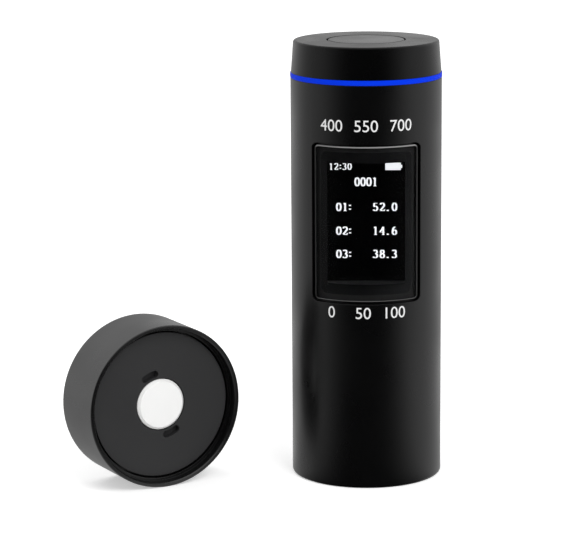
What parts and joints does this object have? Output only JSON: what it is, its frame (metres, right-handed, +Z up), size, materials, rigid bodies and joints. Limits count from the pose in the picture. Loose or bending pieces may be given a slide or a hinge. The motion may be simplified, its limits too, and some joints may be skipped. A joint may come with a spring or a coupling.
{
  "type": "handheld colorimeter",
  "caption": "Cylindrical handheld colorimeter with a curved display window, a round top button, a blue accent ring and a separate calibration cap holding a white tile.",
  "frame": {"origin": "centre of the measuring aperture, in the plane of the table that the base stands on", "axes": "+Z up along the barrel; the display faces -Y; the calibration cap stands on the -X side"},
  "size_m": [0.0779, 0.0385, 0.0906],
  "materials": {
    "satin_black": "satin black paint with a very fine grain",
    "button_black": "satin black moulding",
    "accent_blue": "even bright blue",
    "window_glass": "tinted clear plastic with a dark border",
    "black_tape": "black adhesive tape",
    "matt_black_moulding": "matt black moulding",
    "display_black": "black display glass with lit figures",
    "backlight_white": "white tray",
    "ribbon_amber": "amber film",
    "board_green": "green solder mask",
    "chip_black": "matt black epoxy",
    "shield_steel": "tinned shield",
    "chassis_grey": "dark grey moulding",
    "screw_steel": "dark plated steel",
    "cell_wrap": "blue shrink wrap",
    "nickel": "bright nickel strip",
    "strap_foam": "dark foam strap",
    "socket_steel": "drawn steel shell",
    "magnet_nickel": "nickel plating",
    "optical_glass": "clear polished glass",
    "sphere_white": "dead matt white",
    "led_white": "phosphor white",
    "switch_steel": "pressed steel",
    "spring_steel": "spring wire",
    "carrier_black": "matt charcoal moulding",
    "ceramic_white": "smooth white ceramic",
    "pad_foam": "dark foam",
    "retainer_black": "black moulding"
  },
  "bodies": {
    "instrument": {"main_tube": "satin_black", "head_cap": "satin_black", "accent_ring": "accent_blue", "display_lens": "window_glass", "lens_tape": "black_tape", "display_holder": "matt_black_moulding", "base_plate": "matt_black_moulding", "optic_tube": "matt_black_moulding", "display_glass": "display_black", "backlight": "backlight_white", "display_ribbon": "ribbon_amber", "button_flex": "ribbon_amber", "main_board": "board_green", "usb_board": "board_green", "led_board": "board_green", "sensor_board": "board_green", "button_board": "board_green", "board_chips": "chip_black", "light_sensor": "chip_black", "radio_module": "shield_steel", "chassis": "chassis_grey", "button_holder": "chassis_grey", "chassis_screws": "screw_steel", "base_screws": "screw_steel", "head_screws": "screw_steel", "battery_cell": "cell_wrap", "battery_tabs": "nickel", "battery_strap": "strap_foam", "usb_socket": "socket_steel", "base_magnets": "magnet_nickel", "aperture_glass": "optical_glass", "sensor_lens": "optical_glass", "sphere_lower": "sphere_white", "sphere_upper": "sphere_white", "sphere_leds": "led_white", "tact_switch": "switch_steel", "return_spring": "spring_steel"},
    "button": {"top_button": "button_black", "button_plunger": "chassis_grey"},
    "calibration_cap": {"cap_shell": "satin_black", "tile_carrier": "carrier_black", "white_tile": "ceramic_white", "tile_pad": "pad_foam", "tile_retainer": "retainer_black", "cap_magnets": "magnet_nickel"}
  },
  "joints": [
    {"name": "button_press", "type": "slide", "parent": "instrument", "child": "button", "axis": [0, 0, -1], "range_m": [0, 0.0006], "stiffness_N_per_m": 1000, "springref_m": -0.001, "deforming": ["return_spring"]},
    {"name": "cap_tip", "type": "hinge", "parent": "instrument", "child": "calibration_cap", "pos_m": [-0.048, -0.0026, 0], "axis": [-0.8581, -0.5135, 0], "range_deg": [0, 90]}
  ]
}
